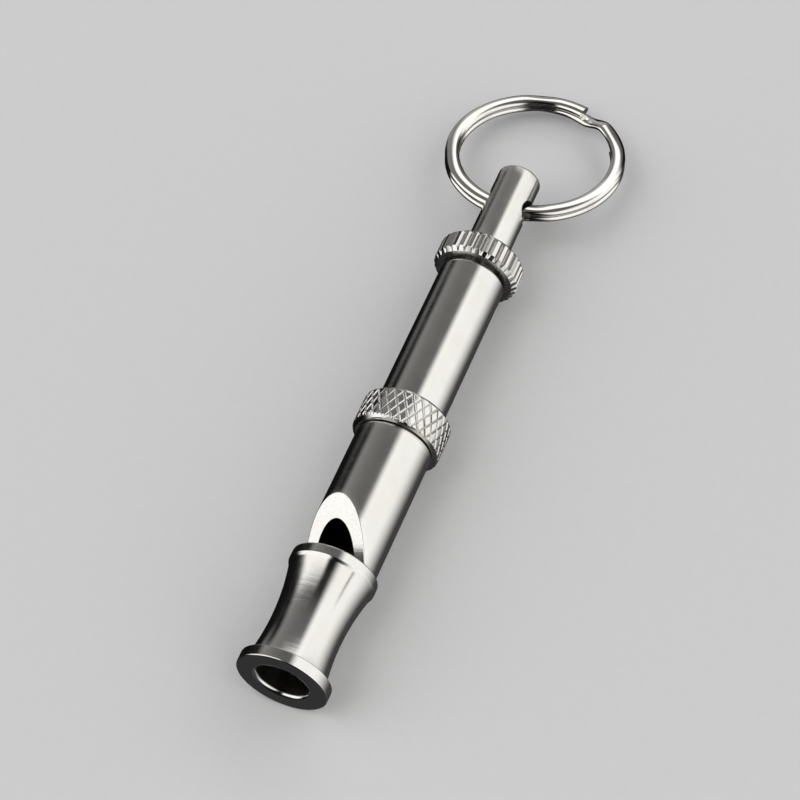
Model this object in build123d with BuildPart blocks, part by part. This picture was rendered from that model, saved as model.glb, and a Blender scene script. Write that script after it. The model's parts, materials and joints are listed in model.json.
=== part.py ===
from build123d import *
import os
from math import cos, radians, sin, tan

# An adjustable training whistle of nickel-plated brass, lying on its side.
# The whistle's own axis runs along +X, from the mouth to the key ring, and +Z is up.
# The origin is on the surface that the whistle lies on, under the middle of its length.
# In every turned profile, the first number is the distance from the mouth face
# and the second is the radius.

# ---- driving dimensions, mm ----
whistle_length = 66.0         # mouth face to the end of the tuning rod
bore_radius = 2.75            # air bore, from the mouth to the tuning piston
edge = 0.15                   # broken edge on turned corners

flange_radius = 4.8           # lip flange at the mouth
flange_width = 1.25
waist_radius = 3.68           # thinnest place of the mouthpiece
waist_from_mouth = 6.2
waist_front_radius = 4.1      # where the waist meets the lip flange
waist_rear_radius = 4.42      # where the waist meets the rim
rim_radius = 4.6
rim_start = 12.1
mouthpiece_length = 13.5

windway_height = 0.8          # air gap between the windway plug's flat and the bore

barrel_radius = 4.1           # front barrel
spigot_radius = 3.3           # pressed into the back of the mouthpiece
spigot_start = 9.0
spigot_relief = 0.7           # free length at the bottom of the mouthpiece's socket
window_turn = 33.0            # degrees from +Z towards +Y
window_end = 19.9             # where the slanted window runs out of the barrel's surface
window_slope = 31.0           # degrees from the whistle's axis

collar_radius = 4.8           # knurled collar of the rear barrel
collar_start = 29.1
collar_width = 4.0
collar_chamfer = 0.4
tube_radius = 3.6
tube_end = 51.4
end_rounding = 0.3            # at the end of the tube, and of the rod
screw_spigot_radius = 3.3     # screwed into the back of the front barrel
screw_spigot_start = 23.7
counterbore_start = 23.5
piston_bore_radius = 2.8      # the rear barrel's bore, where the piston can come
piston_bore_end = 39.0

rod_radius = 2.4              # tuning rod, and its thread's crests
rod_hole_from_mouth = 61.7    # cross hole for the split ring
rod_hole_radius = 1.42
running_gap = 0.06            # radial clearance of the rod in its thread and in the nut
fit_gap = 0.01                # radial clearance of pieces fixed in each other
sliding_gap = 0.03            # radial clearance of the seal in the bore

piston_start = 20.6           # the piston's face with the rod screwed right in
piston_length = 4.6
piston_radius = 2.69
seal_width = 0.9
seal_from_face = 1.3          # from the piston's face to the seal's groove
seal_seat_radius = 2.05
seal_corner = 0.25

button_radius = 1.6           # button on the rod's tip, held inside the piston
button_from_face = 2.4        # from the piston's face to the button
button_length = 1.2
button_gap = 0.1              # clearance all round the button and its neck
neck_radius = 1.2
shank_radius = 2.0
shank_gap = 0.2               # from the piston to the rod's shank
thread_start = 27.2
thread_lead_in = 0.3
relief_radius = 2.1           # undercut at the end of the thread
relief_length = 0.7

nut_radius = 4.7
nut_start = 51.75
nut_width = 2.9
nut_grooves = 32
nut_groove_depth = 0.36
nut_groove_half_angle = 45.0
nut_chamfer = 0.3

ring_outer_radius = 10.0      # split ring, a 20 mm ring of two coils of oval wire
ring_inner_radius = 8.38
coil_height = 0.8
coil_corner = 0.38
coil_overlap = 0.02           # where the two coils touch
ring_tilt = 9.5               # degrees that the ring leans down from the whistle's axis

# ---- places worked out from them ----
# The ring's wire curves through the rod's hole, so its middle there is half way between
# its outer edge on the axis and its inner edge at the rod's sides.
inner_edge_at_rod = (ring_inner_radius ** 2 - rod_radius ** 2) ** 0.5
ring_offset = (ring_outer_radius + inner_edge_at_rod) / 2
ring_along = Vector(cos(radians(ring_tilt)), 0, -sin(radians(ring_tilt)))
ring_normal = Vector(sin(radians(ring_tilt)), 0, cos(radians(ring_tilt)))
ring_reach = (
    (ring_offset + ring_outer_radius - coil_corner) * ring_along.X
    + (coil_height - coil_corner) * ring_normal.X
    + coil_corner
)
overall_length = rod_hole_from_mouth + ring_reach

mouth_x = -overall_length / 2
axis_z = flange_radius
turning_plane = Plane(origin=(mouth_x, 0, axis_z), x_dir=(1, 0, 0), z_dir=(0, -1, 0))
turning_axis = Axis((mouth_x, 0, axis_z), (1, 0, 0))
window_up = Vector(0, sin(radians(window_turn)), cos(radians(window_turn)))
window_plane = Plane(
    origin=(mouth_x, 0, axis_z), x_dir=(1, 0, 0), z_dir=(0, -window_up.Z, window_up.Y)
)


def cross_plane(from_mouth):
    """The plane across the whistle at a distance from the mouth, with Y and Z as its axes."""
    return Plane(origin=(mouth_x + from_mouth, 0, axis_z), x_dir=(0, 1, 0), z_dir=(1, 0, 0))


# ---- mouthpiece: lip flange, hollow waist, and the rim that closes the window ----
socket_bottom = spigot_start - spigot_relief
with BuildPart() as mouthpiece:
    with BuildSketch(turning_plane):
        with BuildLine():
            Polyline(
                (0, bore_radius + edge),
                (0, flange_radius - edge),
                (edge, flange_radius),
                (flange_width - edge, flange_radius),
                (flange_width, flange_radius - edge),
                (flange_width, waist_front_radius),
            )
            ThreePointArc(
                (flange_width, waist_front_radius),
                (waist_from_mouth, waist_radius),
                (rim_start, waist_rear_radius),
            )
            Polyline(
                (rim_start, waist_rear_radius),
                (rim_start + edge, rim_radius),
                (mouthpiece_length - edge, rim_radius),
                (mouthpiece_length, rim_radius - edge),
                (mouthpiece_length, spigot_radius),
                (socket_bottom, spigot_radius),
                (socket_bottom, bore_radius),
                (edge, bore_radius),
                (0, bore_radius + edge),
            )
        make_face()
    revolve(axis=turning_axis)
mouthpiece.part.label = "mouthpiece"

# ---- windway plug: fills the barrel's spigot but for a flat slot of air to the window ----
plug_length = mouthpiece_length - spigot_start
with BuildPart() as windway_plug:
    with BuildSketch(cross_plane(spigot_start)):
        Circle(bore_radius - fit_gap)
    extrude(amount=plug_length)
    chamfer(windway_plug.edges().filter_by(GeomType.CIRCLE).sort_by(Axis.X)[0], length=edge)
    with BuildSketch(window_plane):
        with Locations((spigot_start, bore_radius)):
            Rectangle(plug_length, windway_height, align=(Align.MIN, Align.MAX))
            Rectangle(windway_height, 2 * windway_height, align=(Align.MIN, Align.MAX))
    extrude(amount=bore_radius, both=True, mode=Mode.SUBTRACT)
windway_plug.part.label = "windway_plug"

# ---- front barrel: the sounding tube, with the slanted window and its sharp lip ----
window_floor = barrel_radius - (window_end - mouthpiece_length) * tan(radians(window_slope))
window_top = 2 * barrel_radius
window_run_out = mouthpiece_length + (window_top - window_floor) / tan(radians(window_slope))
with BuildPart() as front_barrel:
    with BuildSketch(turning_plane):
        with BuildLine():
            Polyline(
                (spigot_start, bore_radius),
                (spigot_start, spigot_radius - fit_gap - edge),
                (spigot_start + edge, spigot_radius - fit_gap),
                (mouthpiece_length, spigot_radius - fit_gap),
                (mouthpiece_length, barrel_radius),
                (collar_start - edge, barrel_radius),
                (collar_start, barrel_radius - edge),
                (collar_start, screw_spigot_radius),
                (counterbore_start, screw_spigot_radius),
                (counterbore_start, bore_radius),
                close=True,
            )
        make_face()
    revolve(axis=turning_axis)
    with BuildSketch(window_plane):
        with BuildLine():
            Polyline(
                (mouthpiece_length, window_floor),
                (window_run_out, window_top),
                (mouthpiece_length, window_top),
                close=True,
            )
        make_face()
    extrude(amount=window_top, both=True, mode=Mode.SUBTRACT)
front_barrel.part.label = "front_barrel"

# ---- rear barrel: screwed spigot, knurled collar and the tube that guides the rod ----
collar_end = collar_start + collar_width
with BuildPart() as rear_barrel:
    with BuildSketch(turning_plane):
        with BuildLine():
            Polyline(
                (screw_spigot_start, piston_bore_radius),
                (screw_spigot_start, screw_spigot_radius - fit_gap - edge),
                (screw_spigot_start + edge, screw_spigot_radius - fit_gap),
                (collar_start, screw_spigot_radius - fit_gap),
                (collar_start, collar_radius - collar_chamfer),
                (collar_start + collar_chamfer, collar_radius),
                (collar_end - collar_chamfer, collar_radius),
                (collar_end, collar_radius - collar_chamfer),
                (collar_end, tube_radius),
                (tube_end, tube_radius),
                (tube_end, rod_radius + running_gap),
                (piston_bore_end, rod_radius + running_gap),
                (piston_bore_end, piston_bore_radius),
                close=True,
            )
        make_face()
    revolve(axis=turning_axis)
    fillet(rear_barrel.edges().filter_by(GeomType.CIRCLE).sort_by(Axis.X)[-1], radius=end_rounding)
rear_barrel.part.label = "rear_barrel"

# ---- piston: closes the sounding bore, and swivels on the tip of the rod ----
button_start = piston_start + button_from_face
button_end = button_start + button_length
piston_end = piston_start + piston_length
seal_start = piston_start + seal_from_face
with BuildPart() as piston:
    with BuildSketch(turning_plane):
        with BuildLine():
            Polyline(
                (piston_start, 0),
                (piston_start, piston_radius - edge),
                (piston_start + edge, piston_radius),
                (seal_start, piston_radius),
                (seal_start, seal_seat_radius),
                (seal_start + seal_width, seal_seat_radius),
                (seal_start + seal_width, piston_radius),
                (piston_end, piston_radius),
                (piston_end, neck_radius + button_gap),
                (button_end + button_gap, neck_radius + button_gap),
                (button_end + button_gap, button_radius + button_gap),
                (button_start - button_gap, button_radius + button_gap),
                (button_start - button_gap, 0),
                close=True,
            )
        make_face()
    revolve(axis=turning_axis)
piston.part.label = "piston"

# ---- piston seal: a rubber ring in the piston's groove ----
seal_outer_radius = bore_radius - sliding_gap
seal_inner_radius = seal_seat_radius + fit_gap
seal_thickness = seal_outer_radius - seal_inner_radius
with BuildPart() as piston_seal:
    with BuildSketch(turning_plane):
        with Locations((seal_start + seal_width / 2, seal_inner_radius + seal_thickness / 2)):
            RectangleRounded(seal_width - 2 * fit_gap, seal_thickness, seal_corner)
    revolve(axis=turning_axis)
piston_seal.part.label = "piston_seal"

# ---- tuning rod: button, plain shank, thread (at its crests), relief and smooth end ----
shank_start = piston_end + shank_gap
relief_end = nut_start + nut_width
relief_start = relief_end - relief_length
with BuildPart() as tuning_rod:
    with BuildSketch(turning_plane):
        with BuildLine():
            Polyline(
                (button_start, 0),
                (button_start, button_radius),
                (button_end, button_radius),
                (button_end, neck_radius),
                (shank_start, neck_radius),
                (shank_start, shank_radius),
                (thread_start, shank_radius),
                (thread_start + thread_lead_in, rod_radius),
                (relief_start, rod_radius),
                (relief_start, relief_radius),
                (relief_end, relief_radius),
                (relief_end, rod_radius),
                (whistle_length, rod_radius),
                (whistle_length, 0),
                close=True,
            )
        make_face()
    revolve(axis=turning_axis)
    fillet(tuning_rod.edges().filter_by(GeomType.CIRCLE).sort_by(Axis.X)[-1], radius=end_rounding)
    with BuildSketch(turning_plane):
        with Locations((rod_hole_from_mouth, 0)):
            Circle(rod_hole_radius)
    extrude(amount=2 * rod_radius, both=True, mode=Mode.SUBTRACT)
tuning_rod.part.label = "tuning_rod"

# ---- lock nut: straight-knurled, threaded on the rod (bore at the crests) ----
groove_half_width = nut_groove_depth * tan(radians(nut_groove_half_angle))
nut_end = nut_start + nut_width
with BuildPart() as lock_nut:
    with BuildSketch(turning_plane):
        with BuildLine():
            Polyline(
                (nut_start, rod_radius + running_gap),
                (nut_start, nut_radius - nut_chamfer),
                (nut_start + nut_chamfer, nut_radius),
                (nut_end - nut_chamfer, nut_radius),
                (nut_end, nut_radius - nut_chamfer),
                (nut_end, rod_radius + running_gap),
                close=True,
            )
        make_face()
    revolve(axis=turning_axis)
    with BuildSketch(cross_plane(nut_start)):
        with PolarLocations(nut_radius, nut_grooves):
            Polygon(
                (-nut_groove_depth, 0),
                (nut_groove_depth, -2 * groove_half_width),
                (nut_groove_depth, 2 * groove_half_width),
                align=None,
            )
    extrude(amount=nut_width, mode=Mode.SUBTRACT)
lock_nut.part.label = "lock_nut"

# ---- split ring: two coils of oval wire, lying against each other, through the rod ----
ring_centre = Vector(mouth_x + rod_hole_from_mouth, 0, axis_z) + ring_along * ring_offset
ring_section_plane = Plane(origin=ring_centre, x_dir=ring_along, z_dir=(0, -1, 0))
wire_width = ring_outer_radius - ring_inner_radius
wire_middle = (ring_outer_radius + ring_inner_radius) / 2
with BuildPart() as split_ring:
    with BuildSketch(ring_section_plane):
        for side in (-1, 1):
            with Locations((wire_middle, side * (coil_height - coil_overlap) / 2)):
                RectangleRounded(wire_width, coil_height, coil_corner)
    revolve(axis=Axis(ring_centre, ring_normal))
split_ring.part.label = "split_ring"

pieces = [
    mouthpiece,
    windway_plug,
    front_barrel,
    rear_barrel,
    piston,
    piston_seal,
    tuning_rod,
    lock_nut,
    split_ring,
]
os.makedirs("parts", exist_ok=True)
for piece in pieces:
    export_step(piece.part, f"parts/{piece.part.label}.step")
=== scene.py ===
import json
import math

import bmesh
import bpy
from mathutils import Matrix, Quaternion, Vector


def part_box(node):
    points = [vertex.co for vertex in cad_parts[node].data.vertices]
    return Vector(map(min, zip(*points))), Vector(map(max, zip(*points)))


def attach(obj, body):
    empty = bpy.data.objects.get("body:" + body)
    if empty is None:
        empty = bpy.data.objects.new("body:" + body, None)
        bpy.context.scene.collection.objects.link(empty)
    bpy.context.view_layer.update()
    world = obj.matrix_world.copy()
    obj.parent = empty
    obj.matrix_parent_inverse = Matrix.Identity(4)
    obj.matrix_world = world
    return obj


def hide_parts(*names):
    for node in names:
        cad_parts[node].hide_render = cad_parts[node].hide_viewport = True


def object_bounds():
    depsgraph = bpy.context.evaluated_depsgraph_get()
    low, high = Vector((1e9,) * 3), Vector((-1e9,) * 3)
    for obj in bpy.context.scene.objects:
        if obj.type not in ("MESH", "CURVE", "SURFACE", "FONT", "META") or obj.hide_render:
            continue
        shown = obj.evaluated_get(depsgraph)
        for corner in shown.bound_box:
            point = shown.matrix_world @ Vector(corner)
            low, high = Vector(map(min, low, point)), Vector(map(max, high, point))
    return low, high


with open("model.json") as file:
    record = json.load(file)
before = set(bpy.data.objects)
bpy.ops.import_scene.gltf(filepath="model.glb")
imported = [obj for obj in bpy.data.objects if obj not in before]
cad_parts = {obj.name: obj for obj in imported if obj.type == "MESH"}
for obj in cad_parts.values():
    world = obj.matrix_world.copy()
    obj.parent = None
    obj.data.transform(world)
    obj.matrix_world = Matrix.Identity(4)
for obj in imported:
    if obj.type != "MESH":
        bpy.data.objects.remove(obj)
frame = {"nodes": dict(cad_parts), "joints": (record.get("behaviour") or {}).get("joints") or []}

MM = 0.001
BUMP_HEIGHT = 0.02 * MM
cad_low, cad_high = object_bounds()

# ---------------------------------------------------------------- places from the frame
# The whistle's axis runs along +X. Distances are given in millimetres from the mouth face.
mouth_low, mouth_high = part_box("mouthpiece")
barrel_low, barrel_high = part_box("front_barrel")
rear_low, rear_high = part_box("rear_barrel")
nut_low, nut_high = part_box("lock_nut")
rod_low, rod_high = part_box("tuning_rod")
ring_low, ring_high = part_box("split_ring")
joints = {joint["name"]: joint for joint in frame["joints"]}

mouth_x = mouth_low.x
axis_z = (mouth_low.z + mouth_high.z) / 2


def from_mouth(x):
    """Distance of a place in the frame from the mouth face, in millimetres."""
    return (x - mouth_x) / MM


flange_radius = (mouth_high.z - mouth_low.z) / 2 / MM
mouthpiece_length = from_mouth(mouth_high.x)
spigot_start = from_mouth(barrel_low.x)
collar_start = from_mouth(barrel_high.x)
barrel_radius = (barrel_high.y - barrel_low.y) / 2 / MM
collar_radius = (rear_high.y - rear_low.y) / 2 / MM
screw_start = from_mouth(rear_low.x)
tube_end = from_mouth(rear_high.x)
nut_start = from_mouth(nut_low.x)
nut_end = from_mouth(nut_high.x)
rod_start = from_mouth(rod_low.x)
rod_end = from_mouth(rod_high.x)
rod_radius = (rod_high.z - rod_low.z) / 2 / MM
rod_hole = from_mouth(joints["ring_swing"]["pos_m"][0])
ring_pivot = Vector(joints["ring_swing"]["pos_m"])
ring_centre = (ring_low + ring_high) / 2
ring_outer = (ring_high.y - ring_low.y) / 2 / MM

# ---------------------------------------------------------------- sizes of the details, mm
bore_radius = 2.75
flange_width = 1.25
waist_radius = 3.68
waist_place = 6.2
waist_front_radius = 4.1
waist_rear_radius = 4.42
rim_start = 12.1
rim_radius = 4.6
spigot_radius = 3.3
socket_bottom = 8.3
counterbore_start = 23.5

window_turn = math.radians(33)      # from +Z towards +Y
window_end = 19.9
window_slope = math.radians(31)

collar_end = collar_start + 4.0
collar_chamfer = 0.4                # at the collar's rear end
bevel_most = 0.5                    # its worn front bevel is wide on one side
bevel_least = 0.1
bevel_side = math.radians(-60)      # from +Z towards -Y
joint_gap = 0.14
tube_radius = 3.6
screw_radius = 3.29
piston_bore = 2.8
piston_bore_end = 39.0
rod_bore = rod_radius + 0.06
knurl_count = 30
knurl_depth = 0.12
knurl_groove = 0.15                 # half a groove's width, as a share of the spacing
knurl_slope = math.tan(math.radians(29))
knurl_columns = 28                  # mesh columns from one groove to the next

nut_radius = 4.7
nut_ridges = 32
nut_columns = 24                    # mesh columns from one groove to the next
nut_groove_depth = 0.3
nut_groove_half = 0.27              # half a groove's width
nut_chamfer = 0.46

thread_pitch = 0.8
thread_depth = 0.36
thread_start = 27.2
relief_length = 0.7                 # undercut at the end of the thread
relief_radius = 2.1
thread_end = nut_end - relief_length
shank_radius = 2.0
neck_radius = 1.2
button_radius = 1.6
button_length = 1.2
shank_start = 25.4
rod_hole_radius = 1.42

ring_inner = 8.38
coil_height = 0.8
coil_squareness = 2.3               # 2 is an ellipse
ring_climb_start = math.radians(-21)    # angles from +X towards +Y
ring_climb_end = math.radians(-39)
ring_lower_end = math.radians(-60)
ring_upper_end = math.radians(-17)
ring_bulge = 0.2                    # the wire steps inwards before it climbs
ring_bulge_half = math.radians(19)
ring_twists = [                     # place, half width and greatest turn of each twist
    [math.radians(angle) for angle in twist]
    for twist in ((15, 15, 9), (110, 30, 9), (-50, 20, 8), (-160, 14, -8))
]


# ---------------------------------------------------------------- camera
camera_azimuth = math.radians(-63.1)
camera_elevation = math.radians(55.65)
camera_roll = math.radians(-6.03)
camera_distance = 259.8 * MM
aim_ahead = -5.84 * MM              # from the middle of the whole length, towards the ring
aim_aside = 1.5 * MM                # towards +Y
lens_mm = 113.1

centre_x = (cad_low.x + cad_high.x) / 2
aim = Vector((centre_x + aim_ahead, aim_aside, axis_z))
back = Vector((
    math.sin(camera_azimuth) * math.cos(camera_elevation),
    -math.cos(camera_azimuth) * math.cos(camera_elevation),
    math.sin(camera_elevation),
))
camera = bpy.data.objects.new("camera", bpy.data.cameras.new("camera"))
camera.data.lens = lens_mm
camera.data.clip_start = 0.01
camera.location = aim + back * camera_distance
camera.rotation_mode = "QUATERNION"
camera.rotation_quaternion = (
    (-back).to_track_quat("-Z", "Y") @ Quaternion((0, 0, 1), camera_roll)
)
bpy.context.scene.collection.objects.link(camera)
bpy.context.scene.camera = camera


# ---------------------------------------------------------------- node helpers
class NodeKit:
    """A small helper that makes nodes in a node tree and links them."""

    def __init__(self, tree):
        self.tree = tree
        self.shader = tree.nodes.get("Principled BSDF")

    def make(self, kind, inputs=None, **settings):
        node = self.tree.nodes.new(kind)
        for key, value in settings.items():
            setattr(node, key, value)
        for key, value in (inputs or {}).items():
            if isinstance(value, bpy.types.NodeSocket):
                self.tree.links.new(value, node.inputs[key])
            else:
                node.inputs[key].default_value = value
        return node

    def math(self, operation, first, second=0.0, clamp=False):
        node = self.make("ShaderNodeMath", {0: first, 1: second}, operation=operation)
        node.use_clamp = clamp
        return node.outputs[0]

    def ramp(self, value, low, high, to_low=0.0, to_high=1.0, ends="LINEAR"):
        """A value that goes from to_low to to_high between two places, and is level beyond."""
        inputs = {"Value": value, "From Min": low, "From Max": high}
        inputs.update({"To Min": to_low, "To Max": to_high})
        node = self.make("ShaderNodeMapRange", inputs, interpolation_type=ends)
        return node.outputs["Result"]

    def smooth(self, value, low, high, to_low=0.0, to_high=1.0):
        """A ramp with soft ends."""
        return self.ramp(value, low, high, to_low, to_high, "SMOOTHSTEP")

    def mix(self, factor, first, second):
        node = self.make("ShaderNodeMix", data_type="RGBA")
        for index, value in ((0, factor), (6, first), (7, second)):
            if isinstance(value, bpy.types.NodeSocket):
                self.tree.links.new(value, node.inputs[index])
            else:
                node.inputs[index].default_value = value
        return node.outputs[2]

    def noise(self, vector, scale, detail=3.0, roughness=0.55):
        node = self.make(
            "ShaderNodeTexNoise",
            {"Vector": vector, "Scale": scale, "Detail": detail, "Roughness": roughness},
        )
        return node.outputs["Fac"]

    def stretched(self, vector, scale):
        """Coordinates stretched by a factor on each axis."""
        node = self.make("ShaderNodeVectorMath", {0: vector, 1: scale}, operation="MULTIPLY")
        return node.outputs[0]

    def feed(self, socket, value):
        self.tree.links.new(value, self.shader.inputs[socket])


# ---------------------------------------------------------------- light
def make_studio():
    """A soft studio for polished metal: a broad soft box on the right with a dark seam in it, one
    on the left towards the mouth, a dim ceiling, faint glows, and dark everywhere else. A
    direction is given by its angle round the whistle's axis, in degrees from straight up towards
    -Y, and by how far it leans along the axis, from -1 to 1."""
    world = bpy.data.worlds.new("studio")
    bpy.context.scene.world = world
    world.use_nodes = True
    n = NodeKit(world.node_tree)
    direction = n.make("ShaderNodeTexCoord").outputs["Generated"]
    split = n.make("ShaderNodeSeparateXYZ", {0: direction})
    along = split.outputs["X"]
    round_axis = n.math(
        "MULTIPLY",
        n.math("ARCTAN2", n.math("MULTIPLY", split.outputs["Y"], -1.0), split.outputs["Z"]),
        180 / math.pi,
    )

    rise = n.smooth

    def product(first, *others):
        for other in others:
            first = n.math("MULTIPLY", first, other)
        return first

    # The right box. Far to the rear it leans over to the left, so the ring's flat mirrors it.
    lean = n.math("ADD", round_axis, rise(along, 0.64, 0.75, 0, 58))
    seam = product(
        rise(round_axis, 57, 60),
        rise(round_axis, 63, 67, 1.0, 0.0),
        rise(along, -0.06, 0.02),
        rise(along, 0.17, 0.24, 1.0, 0.0),
        -0.8,
    )
    right_box = product(
        rise(lean, 9, 31),
        rise(lean, 80, 146, 1.0, 0.045),
        rise(n.math("ADD", along, rise(round_axis, 12, 75, 0, 0.35)), -0.55, -0.3),
        rise(n.math("ADD", along, rise(round_axis, -30, 5, -0.05, 0)), 0.8, 0.88, 1.0, 0.0),
        n.math("ADD", seam, 1.0),
        1.2,
    )
    # The left box. Its rear edge slants.
    slant = n.math("MAXIMUM", n.math("MULTIPLY", n.math("ADD", round_axis, 54.0), 0.003), 0.0)
    left_box = product(
        rise(n.math("SUBTRACT", round_axis, rise(along, 0, 0.2, 0, 26)), -102, -82),
        rise(round_axis, -13, -3, 1.0, 0.0),
        rise(n.math("ADD", along, slant), 0.2, 0.31, 1.0, 0.0),
        rise(along, -0.85, -0.7),
        1.3,
    )
    # The ceiling gives the grey band along the barrels.
    ceiling = product(
        rise(n.math("ADD", round_axis, rise(along, 0.58, 0.64, 0, 35)), -74, -56),
        rise(round_axis, 20, 40, 1.0, 0.0),
        rise(round_axis, -85, 0, 0.27, 0.13),
        rise(along, 0.24, 0.36),
    )
    # A glow far to the rear, and a thin strip low on the left.
    rear_glow = product(
        rise(round_axis, -110, -60),
        rise(round_axis, -30, 0, 1.0, 0.0),
        rise(along, 0.8, 0.84),
        rise(along, 0.88, 0.92, 1.0, 0.35),
        0.25,
    )
    horizon_strip = product(
        rise(round_axis, -115, -98),
        rise(round_axis, -94, -80, 1.0, 0.0),
        rise(along, 0.48, 0.56),
        0.2,
    )
    # A faint bluish glow from below, which the mouth's face mirrors.
    from_front = n.make(
        "ShaderNodeVectorMath",
        {0: direction, 1: Vector((-0.39, 0.27, -0.88)).normalized()},
        operation="DOT_PRODUCT",
    ).outputs["Value"]
    front_glow = rise(from_front, 0.8, 0.97, 0.0, 0.036)
    darkest = 0.006
    level = darkest
    for source in (right_box, left_box, ceiling, rear_glow, horizon_strip, front_glow):
        level = n.math("ADD", source, level)
    background = world.node_tree.nodes["Background"]
    warm_white = (1.0, 0.995, 0.985, 1)
    cold_white = (0.94, 0.93, 1.0, 1)
    tint = n.mix(n.math("MULTIPLY", front_glow, 40.0, True), warm_white, cold_white)
    world.node_tree.links.new(tint, background.inputs["Color"])
    world.node_tree.links.new(level, background.inputs["Strength"])


def floor_light(energy, size, height):
    """Soft light from above for the pale floor. The metal doesn't mirror it."""
    data = bpy.data.lights.new("floor_light", "AREA")
    data.shape = "DISK"
    data.size = size
    data.energy = energy
    lamp = bpy.data.objects.new("floor_light", data)
    lamp.location = aim + Vector((-0.1, 0.25, height))
    lamp.rotation_mode = "QUATERNION"
    lamp.rotation_quaternion = (lamp.location - aim).to_track_quat("Z", "Y")
    lamp.visible_glossy = False
    bpy.context.scene.collection.objects.link(lamp)


make_studio()
floor_light(energy=1.2, size=1.2, height=0.9)
bpy.context.scene.view_settings.view_transform = "Standard"


# ---------------------------------------------------------------- materials
def new_material(name):
    material = bpy.data.materials.new(name)
    material.use_nodes = True
    return material, NodeKit(material.node_tree)


def plated(name, colour, roughness, turning, shade_and_grime, turned=0.6):
    """Nickel plate on turned brass: rings left by the tool, fine scratches, wear, and a brown
    darkening that is painted shade deep in the bores and on the nut's front face, and grime with
    painted shade in the grooves. turning is how strongly the tool's rings show, the fifth argument
    how dark that painted shade and grime get, and turned how much the finest rings spread a highlight
    along the whistle."""
    material, n = new_material(name)
    place = n.make("ShaderNodeTexCoord").outputs["Object"]
    wear = n.make("ShaderNodeAttribute", attribute_name="wear").outputs["Fac"]
    recess = n.make("ShaderNodeAttribute", attribute_name="recess").outputs["Fac"]

    rings_fine = n.noise(n.stretched(place, (14000, 260, 260)), 1.0, 2.0)
    rings_broad = n.noise(n.stretched(place, (2600, 40, 40)), 1.0, 2.0)
    clouds = n.noise(place, 420, 4.0)
    specks = n.noise(place, 5200, 2.0, 0.7)
    scratches = n.noise(n.stretched(place, (300, 6500, 2200)), 1.0, 2.0, 0.6)

    height = n.math("MULTIPLY", rings_fine, 0.6)
    height = n.math("ADD", height, n.math("MULTIPLY", rings_broad, 0.5))
    height = n.math("ADD", height, n.math("MULTIPLY", scratches, 0.12))
    bump = n.make(
        "ShaderNodeBump", {"Height": height, "Strength": turning, "Distance": BUMP_HEIGHT}
    )
    n.feed("Normal", bump.outputs["Normal"])

    dull = n.ramp(clouds, 0.42, 0.72)
    rough = n.math("ADD", n.math("MULTIPLY", dull, 0.05), roughness)
    rough = n.math("ADD", rough, n.math("MULTIPLY", n.ramp(specks, 0.6, 0.75), 0.06))
    rough = n.math("ADD", rough, n.math("MULTIPLY", wear, 0.06))
    rough = n.math("ADD", rough, n.math("MULTIPLY", recess, 0.12))
    n.feed("Roughness", rough)

    warm = (colour[0] * 0.985, colour[1] * 0.97, colour[2] * 0.94, 1)
    tone = n.mix(n.ramp(clouds, 0.3, 0.75), (*colour, 1), warm)
    rubbed_bright = (0.84, 0.83, 0.8, 1)
    # Brown darkening by the recess layer: painted shade in the bores and on the nut's front face,
    # grime with painted shade in the grooves
    brown_shade_and_grime = (0.05, 0.034, 0.022, 1)
    worn = n.mix(n.math("MULTIPLY", wear, n.ramp(specks, 0.3, 0.7)), tone, rubbed_bright)
    shade_and_grime_amount = n.math("MULTIPLY", recess, shade_and_grime)
    n.feed("Base Color", n.mix(shade_and_grime_amount, worn, brown_shade_and_grime))
    n.shader.inputs["Metallic"].default_value = 1.0
    if turned:
        quarter_turn = 0.25
        round_axis = n.make("ShaderNodeTangent", direction_type="RADIAL", axis="X")
        n.feed("Tangent", round_axis.outputs["Tangent"])
        n.shader.inputs["Anisotropic"].default_value = turned
        n.shader.inputs["Anisotropic Rotation"].default_value = quarter_turn
    return material


def turned_brass(name):
    """Bare brass of the inner pieces, dull and slightly tarnished."""
    material, n = new_material(name)
    place = n.make("ShaderNodeTexCoord").outputs["Object"]
    rings = n.noise(n.stretched(place, (9000, 200, 200)), 1.0, 2.0)
    tarnish = n.noise(place, 700, 4.0)
    clean, dark = (0.36, 0.27, 0.15, 1), (0.13, 0.09, 0.05, 1)
    n.feed("Base Color", n.mix(n.ramp(tarnish, 0.35, 0.7), clean, dark))
    n.feed("Roughness", n.ramp(tarnish, 0.2, 0.8, 0.28, 0.5))
    bump = n.make("ShaderNodeBump", {"Height": rings, "Strength": 0.4, "Distance": BUMP_HEIGHT})
    n.feed("Normal", bump.outputs["Normal"])
    n.shader.inputs["Metallic"].default_value = 1.0
    return material


def seal_rubber(name):
    """Black rubber with a fine moulded grain."""
    material, n = new_material(name)
    place = n.make("ShaderNodeTexCoord").outputs["Object"]
    grain = n.noise(place, 9000, 3.0)
    black, soot = (0.012, 0.012, 0.012, 1), (0.03, 0.03, 0.03, 1)
    n.feed("Base Color", n.mix(n.ramp(grain, 0.3, 0.7), black, soot))
    n.feed("Roughness", n.ramp(grain, 0.2, 0.8, 0.5, 0.7))
    bump = n.make("ShaderNodeBump", {"Height": grain, "Strength": 0.5, "Distance": BUMP_HEIGHT})
    n.feed("Normal", bump.outputs["Normal"])
    return material


def floor_paint(name):
    """Matt pale paper for the floor."""
    material, n = new_material(name)
    place = n.make("ShaderNodeTexCoord").outputs["Object"]
    tooth = n.noise(place, 900, 3.0)
    n.feed("Base Color", n.mix(tooth, (0.74, 0.745, 0.75, 1), (0.77, 0.775, 0.78, 1)))
    n.shader.inputs["Roughness"].default_value = 0.75
    return material


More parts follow.
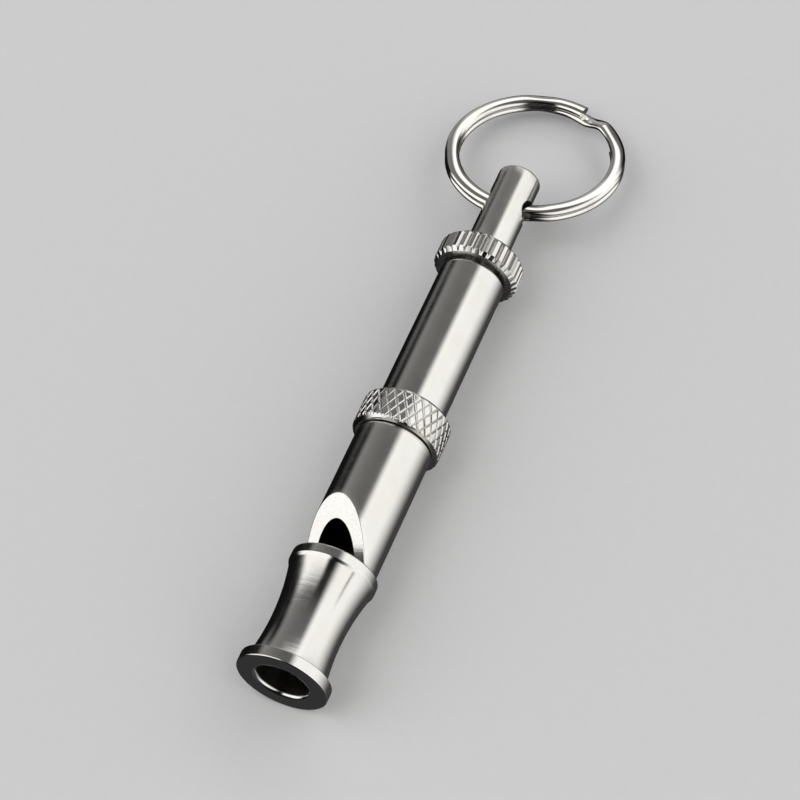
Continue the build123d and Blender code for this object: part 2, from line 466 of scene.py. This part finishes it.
nickel = (0.745, 0.738, 0.715)
plate_mouthpiece = plated("plate_mouthpiece", nickel, roughness=0.14, turning=0.5, shade_and_grime=0.95)
plate_barrel = plated("plate_barrel", nickel, roughness=0.15, turning=0.6, shade_and_grime=0.95)
plate_rear = plated("plate_rear", nickel, roughness=0.14, turning=0.4, shade_and_grime=0.2)
plate_nut = plated("plate_nut", nickel, roughness=0.15, turning=0.2, shade_and_grime=0.3)
plate_rod = plated("plate_rod", nickel, roughness=0.15, turning=0.4, shade_and_grime=0.5)
polished = (0.78, 0.77, 0.745)
plate_ring = plated("plate_ring", polished, roughness=0.07, turning=0.08, shade_and_grime=0.3, turned=0)
brass = turned_brass("plain_brass")
rubber = seal_rubber("seal_rubber")


# ---------------------------------------------------------------- turned pieces
def outward(a, b):
    """Normal of an outline's edge, on the left-hand side when walking from a to b."""
    along = (b - a).normalized()
    return Vector((-along.y, along.x))


def soften(corners, closed=True, steps=3):
    """Rounds an outline's corners. Each corner is (x, r, radius); radius None marks a curve's
    point, which is kept. The outline goes round the metal with the metal on its right.
    Gives (x, r, normal, wear) for each point of the finished outline."""
    count = len(corners)
    points = []
    for i, (x, r, radius) in enumerate(corners):
        here = Vector((x, r))
        ends = not closed and i in (0, count - 1)
        before = Vector(corners[i - 1][:2])
        after = Vector(corners[(i + 1) % count][:2])
        if ends:
            edge = outward(here, after) if i == 0 else outward(before, here)
            points.append((x, r, edge, 0.0))
            continue
        first, second = outward(before, here), outward(here, after)
        if radius is None or first.dot(second) > 0.9999:
            points.append((x, r, (first + second).normalized(), 0.0))
            continue
        convex = first.x * second.y - first.y * second.x < 0
        sign = 1 if convex else -1
        # A rounding takes less than half of each edge beside it.
        reach = min((here - before).length, (after - here).length) * 0.49
        half = math.acos(max(-1.0, min(1.0, first.dot(second)))) / 2
        size = min(radius, reach / max(math.tan(half), 1e-6))
        middle = here - sign * size * (first + second) / (1 + first.dot(second))
        for step in range(steps + 1):
            share = step / steps
            normal = (first * (1 - share) + second * share).normalized()
            spot = middle + sign * size * normal
            points.append((spot.x, spot.y, normal, 1.0 if convex else 0.0))
    return points


def supported(points, gap=0.05):
    """Adds a point close to both ends of each straight run longer than four gaps, so that
    smooth shading keeps flats flat and the corners' wear fades over that distance."""
    out = []
    count = len(points)
    for i, point in enumerate(points):
        out.append(point)
        after = points[(i + 1) % count]
        a, b = Vector(point[:2]), Vector(after[:2])
        length = (b - a).length
        if length > 4 * gap:
            inset = (b - a) * gap / length
            for spot, source in ((a + inset, point), (b - inset, after)):
                out.append((spot.x, spot.y, source[2], 0.0))
    return out


def new_mesh_object(name, vertices, faces, material, normals=None, layers=None, sharp=None):
    """A mesh object from vertices in millimetres in the whistle's own axis frame."""
    mesh = bpy.data.meshes.new(name)
    placed = [(mouth_x + x * MM, y * MM, axis_z + z * MM) for x, y, z in vertices]
    mesh.from_pydata(placed, [], faces)
    mesh.update()
    for layer, values in (layers or {}).items():
        attribute = mesh.attributes.new(layer, "FLOAT", "POINT")
        attribute.data.foreach_set("value", values)
    mesh.shade_smooth()
    if sharp is not None:
        mesh.set_sharp_from_angle(angle=math.radians(sharp))
    if normals is not None:
        mesh.normals_split_custom_set_from_vertices(normals)
    mesh.materials.append(material)
    piece = bpy.data.objects.new(name, mesh)
    bpy.context.scene.collection.objects.link(piece)
    return piece


def lathe(points, columns, surface=None):
    """Turns a closed outline about the axis. surface(x, angle, r) gives the radius to use and
    how deep in a recess the place is, which sets its painted shade and grime. Gives vertices,
    faces, normals and the two layers."""
    vertices, faces, normals, wear, recess = [], [], [], [], []
    for x, r, normal, worn in points:
        for j in range(columns):
            angle = 2 * math.pi * j / columns
            radius, sunk = (r, 0.0) if surface is None else surface(x, angle, r)
            vertices.append((x, -radius * math.sin(angle), radius * math.cos(angle)))
            normals.append((normal.x, -normal.y * math.sin(angle), normal.y * math.cos(angle)))
            wear.append(worn * (1 - sunk))
            recess.append(sunk)
    rows = len(points)
    for i in range(rows):
        here, after = i * columns, (i + 1) % rows * columns
        for j in range(columns):
            k = (j + 1) % columns
            faces.append((here + j, here + k, after + k, after + j))
    return vertices, faces, normals, {"wear": wear, "recess": recess}


def arc(first, middle, last, steps):
    """Points of the circle through three points of an outline, without its ends."""
    (ax, ay), (bx, by), (cx, cy) = first, middle, last
    d = 2 * (ax * (by - cy) + bx * (cy - ay) + cx * (ay - by))
    a2, b2, c2 = ax * ax + ay * ay, bx * bx + by * by, cx * cx + cy * cy
    ux = (a2 * (by - cy) + b2 * (cy - ay) + c2 * (ay - by)) / d
    uy = (a2 * (cx - bx) + b2 * (ax - cx) + c2 * (bx - ax)) / d
    radius = math.hypot(ax - ux, ay - uy)
    start, stop = math.atan2(ay - uy, ax - ux), math.atan2(cy - uy, cx - ux)
    angles = [start + (stop - start) * i / steps for i in range(1, steps)]
    return [(ux + radius * math.cos(t), uy + radius * math.sin(t), None) for t in angles]


def finish_piece(piece, body, node):
    """Says which body a piece rides on, and hides the CAD node it stands for."""
    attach(piece, body)
    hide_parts(node)


def make_mouthpiece():
    dark_from, dark_over = 0.6, 2       # the bore gets duller inwards, and painted shade darkens it inwards
    waist = arc(
        (flange_width, waist_front_radius),
        (waist_place, waist_radius),
        (rim_start, waist_rear_radius),
        40,
    )
    outline = [
        (0, flange_radius, 0.14),
        (flange_width, flange_radius, 0.1),
        (flange_width, waist_front_radius, 0.22),
        *waist,
        (rim_start, waist_rear_radius, 0.12),
        (rim_start + 0.3, rim_radius, 0.14),
        (mouthpiece_length, rim_radius, 0.2),
        (mouthpiece_length, spigot_radius, 0.03),
        (socket_bottom, spigot_radius, 0.03),
        (socket_bottom, bore_radius, 0.03),
        (0, bore_radius, 0.42),
    ]

    # Inside the bore the recess layer paints shade that deepens away from the mouth
    def surface(x, angle, r):
        inside = r < bore_radius + 0.1
        return r, min(max(x - dark_from, 0.0) / dark_over, 1.0) if inside else 0.0

    points = supported(soften(outline))
    vertices, faces, normals, layers = lathe(points, 256, surface)
    piece = new_mesh_object("mouthpiece_body", vertices, faces, plate_mouthpiece, normals, layers)
    finish_piece(piece, "whistle_body", "mouthpiece")


def make_front_barrel():
    """The barrel's window is cut by a plane that slants down from window_end to the rim."""
    columns = 360
    lip = 0.13                          # how far the window's edge is rounded
    lip_steps = 5
    outer_end = collar_start - 1        # the rear outline takes over from here
    inner_end = counterbore_start - 1
    rear = soften(
        [
            (outer_end, barrel_radius, None),
            (collar_start - joint_gap, barrel_radius, 0.06),
            (collar_start - joint_gap, spigot_radius, 0.03),
            (counterbore_start, spigot_radius, 0.03),
            (counterbore_start, bore_radius, 0.03),
            (inner_end, bore_radius, None),
        ],
        closed=False,
    )
    plane_normal = Vector((
        -math.sin(window_slope),
        math.cos(window_slope) * math.sin(window_turn),
        math.cos(window_slope) * math.cos(window_turn),
    ))

    def front_edge(radius, turn):
        """Where the barrel's wall starts, at a radius and at an angle from the window's middle."""
        height = radius * math.cos(turn)
        return window_end - (barrel_radius - height) / math.tan(window_slope)

    def rounded(before, corner, after, first, second):
        """Points round an edge, with normals that turn from the first to the second."""
        run = []
        for i in range(lip_steps + 1):
            t = i / lip_steps
            spot = before * (1 - t) ** 2 + corner * (2 * t * (1 - t)) + after * t ** 2
            run.append((spot.x, spot.y, (first * (1 - t) + second * t).normalized(), 1.0, 0.0))
        return run

    vertices, faces, normals, wear, recess = [], [], [], [], []
    runs = 12                           # mesh rows along a straight wall
    for j in range(columns):
        angle = 2 * math.pi * j / columns
        across, up = -math.sin(angle), math.cos(angle)
        turn = angle + window_turn
        cut = front_edge(barrel_radius, turn)
        face = plane_normal if cut > mouthpiece_length else Vector((-1, 0, 0))
        outer = Vector((max(cut, mouthpiece_length), barrel_radius))
        inner = Vector((max(front_edge(bore_radius, turn), mouthpiece_length), bore_radius))
        slant = (outer - inner).normalized()
        radial = Vector((0, across, up))
        ahead = Vector((1, 0))
        column = rounded(outer - slant * lip, outer, outer + ahead * lip, face, radial)
        wall = outer_end - outer.x - lip
        column += [
            (outer.x + lip + wall * i / runs, barrel_radius, radial, 0.0, 0.0)
            for i in range(1, runs)
        ]
        column += [
            (x, r, Vector((normal.x, normal.y * across, normal.y * up)), worn, 0.0)
            for x, r, normal, worn in rear
        ]
        # The bore's inner wall is marked 1 in the recess layer: painted shade all along it
        wall = inner_end - inner.x - lip
        column += [
            (inner_end - wall * i / runs, bore_radius, -radial, 0.0, 1.0)
            for i in range(1, runs)
        ]
        column += rounded(inner + ahead * lip, inner, inner + slant * lip, -radial, face)
        for x, r, normal, worn, sunk in column:
            vertices.append((x, r * across, r * up))
            normals.append(normal)
            wear.append(worn)
            recess.append(sunk)
        rows = len(column)
    for j in range(columns):
        here, after = j * rows, (j + 1) % columns * rows
        for i in range(rows):
            k = (i + 1) % rows
            faces.append((here + i, after + i, after + k, here + k))
    spigot = soften(
        [
            (spigot_start, bore_radius, 0.03),
            (spigot_start, spigot_radius, 0.1),
            (mouthpiece_length, spigot_radius, 0.02),
            (mouthpiece_length, bore_radius, 0.03),
        ]
    )
    more, more_faces, more_normals, more_layers = lathe(supported(spigot), 128)
    shift = len(vertices)
    vertices += more
    normals += more_normals
    faces += [tuple(i + shift for i in face) for face in more_faces]
    layers = {"wear": wear + more_layers["wear"], "recess": recess + more_layers["recess"]}
    piece = new_mesh_object("front_barrel_tube", vertices, faces, plate_barrel, normals, layers)
    finish_piece(piece, "whistle_body", "front_barrel")


def diamond(x, angle):
    """How deep in a knurl groove a place is: 0 on a diamond's top, 1 at a groove's bottom."""
    around = angle * knurl_count / (2 * math.pi)
    along = x * knurl_slope * knurl_count / (2 * math.pi * collar_radius)
    deepest = 0.0
    for phase in (around + along, around - along):
        from_groove = abs(phase - round(phase))
        deepest = max(deepest, 1 - from_groove / knurl_groove)
    return max(deepest, 0.0)


def make_rear_barrel():
    row = 2 * math.pi * collar_radius / (knurl_count * knurl_columns) / knurl_slope
    knurl_rows = round((collar_end - collar_start) / row)
    knurled = [
        collar_start + (collar_end - collar_start) * i / knurl_rows for i in range(1, knurl_rows)
    ]

    def chamfered(x):
        """Radius of the collar's blank, with its rear chamfer."""
        return collar_radius - max(0.0, collar_chamfer - (collar_end - x))

    def bevelled(x, angle):
        """Radius that the uneven front bevel leaves."""
        side = ((1 + math.cos(angle - bevel_side)) / 2) ** 3
        bevel = bevel_least + (bevel_most - bevel_least) * side
        return collar_radius - max(0.0, bevel - (x - collar_start))

    outline = [
        (screw_start, piston_bore, 0.03),
        (screw_start, screw_radius, 0.1),
        (collar_start, screw_radius, 0.02),
        (collar_start, collar_radius - bevel_most, 0.02),
        *[(x, chamfered(x), None) for x in knurled],
        (collar_end, collar_radius - collar_chamfer, 0.02),
        (collar_end, tube_radius, 0.06),
        (tube_end, tube_radius, 0.3),
        (tube_end, rod_bore, 0.08),
        (piston_bore_end, rod_bore, 0.03),
        (piston_bore_end, piston_bore, 0.03),
    ]

    def surface(x, angle, r):
        on_collar = collar_start < x < collar_end and r >= tube_radius + 0.2
        if not on_collar:
            return r, 0.0
        # A groove's depth also darkens it through the recess layer, as grime with painted shade
        depth = diamond(x, angle)
        knurled_radius = collar_radius - knurl_depth * depth
        blank = min(r, bevelled(x, angle))
        return min(blank, knurled_radius), depth if knurled_radius < blank else 0.0

    points = supported(soften(outline))
    vertices, faces, _, layers = lathe(points, knurl_count * knurl_columns, surface)
    piece = new_mesh_object(
        "rear_barrel_tube", vertices, faces, plate_rear, layers=layers, sharp=28
    )
    finish_piece(piece, "whistle_body", "rear_barrel")


def make_lock_nut():
    outline = [
        (nut_start, rod_bore, 0.12),
        (nut_start, nut_radius - nut_chamfer, 0.03),
        (nut_start + nut_chamfer, nut_radius, 0.03),
        (nut_end - nut_chamfer, nut_radius, 0.03),
        (nut_end, nut_radius - nut_chamfer, 0.03),
        (nut_end, rod_bore, 0.12),
    ]
    half_groove = nut_groove_half * nut_ridges / (2 * math.pi * nut_radius)
    # The nut's front face, facing the tube, is painted dark as shade and dark reflection through the
    # recess layer; its grooves are darkened by their depth
    painted_front_shade = 0.75

    def surface(x, angle, r):
        if r < nut_radius - nut_chamfer - 0.02:
            return r, painted_front_shade if x < nut_start + 0.1 else 0.0
        phase = angle * nut_ridges / (2 * math.pi)
        depth = max(0.0, 1 - abs(phase - round(phase)) / half_groove)
        radius = nut_radius - nut_groove_depth * depth
        return min(r, radius), depth if radius < r else 0.0

    points = supported(soften(outline))
    vertices, faces, _, layers = lathe(points, nut_ridges * nut_columns, surface)
    piece = new_mesh_object("lock_nut_body", vertices, faces, plate_nut, layers=layers, sharp=25)
    finish_piece(piece, "lock_nut", "lock_nut")


def cut_with(piece, cutter):
    """Takes the cutter's shape out of a piece, and removes the cutter."""
    modifier = piece.modifiers.new("cut", "BOOLEAN")
    modifier.operation = "DIFFERENCE"
    modifier.solver = "EXACT"
    modifier.object = cutter
    evaluated = piece.evaluated_get(bpy.context.evaluated_depsgraph_get())
    mesh = bpy.data.meshes.new_from_object(evaluated)
    piece.modifiers.clear()
    old = piece.data
    piece.data = mesh
    bpy.data.meshes.remove(old)
    bpy.data.objects.remove(cutter)


def make_rod():
    """The smooth end with its cross hole, and the threaded part with its button."""
    tiny = 0.002                        # the outlines stay this far off the axis
    end_outline = [
        (thread_end, tiny, None),
        (thread_end, relief_radius, 0.02),
        (nut_end, relief_radius, 0.02),
        (nut_end, rod_radius, 0.06),
        *[(rod_hole + away, rod_radius, None) for away in (-3, -2, -1.2, 0, 1.2, 2, 3)],
        (rod_end, rod_radius, 0.3),
        (rod_end, tiny, None),
    ]
    points = soften(end_outline, steps=5)
    vertices, faces, _, layers = lathe(points, 192)
    end = new_mesh_object("tuning_rod_end", vertices, faces, plate_rod, layers=layers)

    hole = bmesh.new()
    bmesh.ops.create_cone(
        hole,
        cap_ends=True,
        segments=96,
        radius1=rod_hole_radius * MM,
        radius2=rod_hole_radius * MM,
        depth=4 * rod_radius * MM,
        matrix=Matrix.Translation(ring_pivot) @ Matrix.Rotation(math.pi / 2, 4, "X"),
    )
    cutter_mesh = bpy.data.meshes.new("hole")
    hole.to_mesh(cutter_mesh)
    hole.free()
    cutter = bpy.data.objects.new("hole", cutter_mesh)
    bpy.context.scene.collection.objects.link(cutter)
    cut_with(end, cutter)
    end.data.set_sharp_from_angle(angle=math.radians(25))
    finish_piece(end, "tuning_rod", "tuning_rod")

    rows_per_pitch = 12
    columns = 72
    root_half, flank = 0.06, 0.34       # a thread groove's shape, as shares of the pitch
    fade_in, fade_out = 0.6, 0.5
    # How dark the thread's grooves are painted through the recess layer
    groove_darkening = 0.6
    threads = round((thread_end - thread_start) / thread_pitch * rows_per_pitch)
    threaded = [
        (thread_start + (thread_end - thread_start) * i / threads, rod_radius, None)
        for i in range(threads + 1)
    ]
    outline = [
        (rod_start, tiny, None),
        (rod_start, button_radius, 0.1),
        (rod_start + button_length, button_radius, 0.05),
        (rod_start + button_length, neck_radius, 0.05),
        (shank_start, neck_radius, 0.05),
        (shank_start, shank_radius, 0.1),
        (thread_start - 0.1, shank_radius, 0.02),
        *threaded,
        (thread_end + 0.02, tiny, None),
    ]

    def surface(x, angle, r):
        if r < rod_radius - 0.01:
            return r, 0.0
        phase = (x - thread_start) / thread_pitch - angle / (2 * math.pi)
        from_groove = abs(phase - round(phase))
        depth = min(max(1 - (from_groove - root_half) / flank, 0.0), 1.0)
        fade = min(1.0, (x - thread_start) / fade_in, (thread_end - x) / fade_out)
        depth *= max(fade, 0.0)
        return rod_radius - thread_depth * depth, groove_darkening * depth

    vertices, faces, _, layers = lathe(soften(outline), columns, surface)
    screw = new_mesh_object(
        "tuning_rod_thread", vertices, faces, plate_rod, layers=layers, sharp=25
    )
    finish_piece(screw, "tuning_rod", "tuning_rod")


def make_split_ring():
    """One oval wire in two turns. It climbs from the lower turn to the upper near its cut ends,
    and it is a little twisted in places."""
    along = ring_centre - ring_pivot
    along.y = 0
    along.normalize()
    sideways = Vector((0, 1, 0))
    normal = along.cross(sideways).normalized()
    width = ring_outer - ring_inner
    middle = (ring_outer + ring_inner) / 2
    level = coil_height / 2
    coil_clearance = 0.985              # the wire's height, as a share of the turns' spacing

    section = []
    section_points = 32
    power = 2 / coil_squareness
    for i in range(section_points):
        t = 2 * math.pi * i / section_points
        c, v = math.cos(t), math.sin(t)
        section.append((
            width / 2 * math.copysign(abs(c) ** power, c),
            level * math.copysign(abs(v) ** power, v),
        ))

    def bump(away, half):
        """1 at no distance, falling smoothly to 0 at half the bump's width."""
        return math.cos(min(abs(away) / half, 1.0) * math.pi / 2) ** 2

    def turned_by(angle, place):
        """The angle from a place on the ring, between half a turn back and half a turn on."""
        return (angle - place + math.pi) % (2 * math.pi) - math.pi

    first = ring_lower_end
    last = ring_upper_end - 4 * math.pi
    climb_from = ring_climb_start - 2 * math.pi
    climb_to = ring_climb_end - 2 * math.pi
    steps = 720
    centre = ring_centre / MM
    vertices, faces = [], []
    for s in range(steps + 1):
        angle = first + (last - first) * s / steps
        climbed = min(max((angle - climb_from) / (climb_to - climb_from), 0.0), 1.0)
        climb = climbed * climbed * (3 - 2 * climbed)
        height = level * (2 * climb - 1)
        radius = middle - ring_bulge * bump(angle - climb_from, ring_bulge_half)
        twist = sum(
            turn * bump(turned_by(angle, place), half) for place, half, turn in ring_twists
        )
        out = along * math.cos(angle) + sideways * math.sin(angle)
        across = out * math.cos(twist) - normal * math.sin(twist)
        over = normal * math.cos(twist) + out * math.sin(twist)
        for dx, dz in section:
            vertices.append(
                centre + out * radius + normal * height + across * dx + over * dz * coil_clearance
            )
    for s in range(steps):
        here, after = s * section_points, (s + 1) * section_points
        for i in range(section_points):
            k = (i + 1) % section_points
            faces.append((here + i, here + k, after + k, after + i))
    faces.append(tuple(range(section_points))[::-1])
    faces.append(tuple(steps * section_points + i for i in range(section_points)))
    mesh = bpy.data.meshes.new("split_ring_wire")
    mesh.from_pydata([v * MM for v in vertices], [], faces)
    mesh.update()
    for layer in ("wear", "recess"):
        attribute = mesh.attributes.new(layer, "FLOAT", "POINT")
        attribute.data.foreach_set("value", [0.0] * len(vertices))
    mesh.shade_smooth()
    mesh.set_sharp_from_angle(angle=math.radians(40))
    mesh.materials.append(plate_ring)
    wire = bpy.data.objects.new("split_ring_wire", mesh)
    bpy.context.scene.collection.objects.link(wire)
    finish_piece(wire, "split_ring", "split_ring")


make_mouthpiece()
make_front_barrel()
make_rear_barrel()
make_lock_nut()
make_rod()
make_split_ring()

for node, material in (("windway_plug", brass), ("piston", brass), ("piston_seal", rubber)):
    part = frame["nodes"][node]
    part.data.materials.clear()
    part.data.materials.append(material)

# ---------------------------------------------------------------- floor
floor_mesh = bpy.data.meshes.new("floor")
half_floor = 3.0
floor_corners = [(x * half_floor, y * half_floor, 0) for x, y in ((-1, -1), (1, -1), (1, 1), (-1, 1))]
floor_mesh.from_pydata(floor_corners, [], [(0, 1, 2, 3)])
floor_mesh.materials.append(floor_paint("floor_paint"))
floor = bpy.data.objects.new("floor", floor_mesh)
bpy.context.scene.collection.objects.link(floor)
floor.visible_glossy = False
